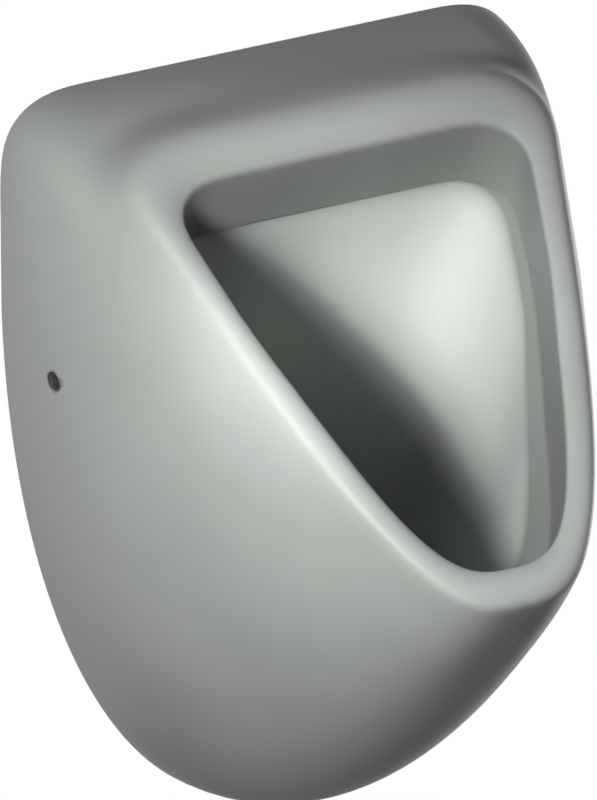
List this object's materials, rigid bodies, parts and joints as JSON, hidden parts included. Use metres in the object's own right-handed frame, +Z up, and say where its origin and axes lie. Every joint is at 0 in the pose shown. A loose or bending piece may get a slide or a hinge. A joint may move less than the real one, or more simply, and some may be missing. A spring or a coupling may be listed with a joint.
{
  "type": "wall-hung urinal",
  "caption": "Wall-hung glazed ceramic urinal with a sloping shield-shaped opening, hidden top inlet and spray head, side-screw wall brackets and a lift-out strainer and trap insert.",
  "frame": {"origin": "on the wall plane, at the middle of the four wall holes of the brackets, level with the side fixing holes", "axes": "+X to the right seen from the front, +Y into the wall, +Z up"},
  "size_m": [0.34, 0.3273, 0.4842],
  "materials": {
    "glazed_ceramic": "satin glaze",
    "zinc_steel": "zinc plated",
    "stainless_steel": "brushed",
    "black_steel": "black oxide",
    "chrome": "polished",
    "brass": "turned",
    "black_rubber": "matt",
    "white_plastic": "moulded",
    "grey_plastic": "moulded",
    "sleeve_plastic": "moulded"
  },
  "bodies": {
    "urinal": {"ceramic_body": "glazed_ceramic", "left_wall_bracket": "zinc_steel", "right_wall_bracket": "zinc_steel", "bracket_nuts": "zinc_steel", "fixing_screws": "black_steel", "fixing_sleeves": "sleeve_plastic", "inlet_spigot": "brass", "inlet_lip_ring": "black_rubber", "inlet_seal": "black_rubber", "inlet_washer": "stainless_steel", "inlet_nut": "brass", "spray_head_ring": "black_rubber", "spray_head": "chrome", "waste_top_gasket": "black_rubber", "waste_flange": "white_plastic", "waste_low_gasket": "black_rubber", "waste_back_nut": "white_plastic", "trap_seal": "black_rubber", "trap_housing": "grey_plastic", "outlet_lip_ring": "black_rubber"},
    "trap_insert": {"trap_insert": "white_plastic", "insert_ring": "black_rubber"},
    "strainer": {"strainer": "stainless_steel"}
  },
  "joints": [
    {"name": "trap_insert_lift", "type": "slide", "parent": "urinal", "child": "trap_insert", "axis": [0, 0, 1], "range_m": [0, 0.11]},
    {"name": "strainer_lift", "type": "slide", "parent": "trap_insert", "child": "strainer", "axis": [0, 0, 1], "range_m": [0, 0.06]}
  ]
}
